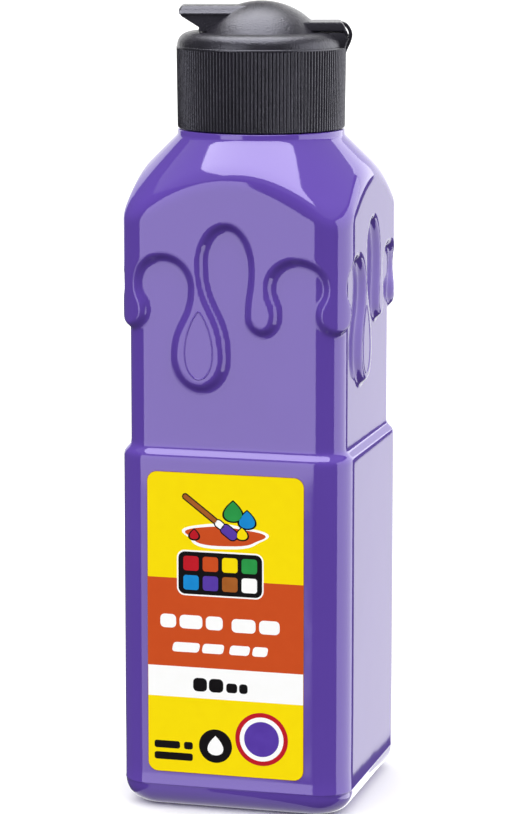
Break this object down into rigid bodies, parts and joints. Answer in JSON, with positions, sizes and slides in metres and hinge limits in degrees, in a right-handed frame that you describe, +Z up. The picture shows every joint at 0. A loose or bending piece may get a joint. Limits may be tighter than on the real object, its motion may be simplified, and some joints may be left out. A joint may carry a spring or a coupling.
{
  "type": "paint bottle",
  "caption": "Square squeeze bottle of acrylic paint with a drip-relief shoulder, a ribbed screw cap and a hinged flip-top lid.",
  "frame": {"origin": "centre of the standing ring under the base", "axes": "+Z up the bottle's axis to the cap; the front label faces -Y"},
  "size_m": [0.046, 0.0462, 0.1572],
  "materials": {
    "bottle_pet": "violet PET, stretch blow moulded, high gloss",
    "acrylic_paint": "thick violet acrylic paint",
    "label_film": "printed self-adhesive film, satin",
    "cap_pp": "black injection-moulded polypropylene, fine moulded grain",
    "ring_foam": "white polyethylene sealing ring"
  },
  "bodies": {
    "bottle": {"bottle": "bottle_pet", "paint_fill": "acrylic_paint", "front_label": "label_film", "rear_label": "label_film"},
    "ring": {"sealing_ring": "ring_foam"},
    "cap": {"cap_base": "cap_pp", "hinge_films": "cap_pp", "snap_strap": "cap_pp"},
    "lid": {"flip_lid": "cap_pp"}
  },
  "joints": [
    {"name": "cap_lift", "type": "slide", "parent": "bottle", "child": "ring", "axis": [0, 0, 1], "range_m": [0, 0.0065]},
    {"name": "cap_turn", "type": "hinge", "parent": "ring", "child": "cap", "pos_m": [0, 0, 0.149], "axis": [0, 0, 1], "range_deg": [0, 540]},
    {"name": "lid_hinge", "type": "hinge", "parent": "cap", "child": "lid", "pos_m": [0.01637, 0.00439, 0.1503], "axis": [-0.2588, 0.9659, 0], "range_deg": [0, 140], "deforming": ["hinge_films", "snap_strap"]}
  ],
  "couplings": [
    {"joint": "cap_lift", "follows": "cap_turn", "m_per_rad": 0.00066845}
  ]
}
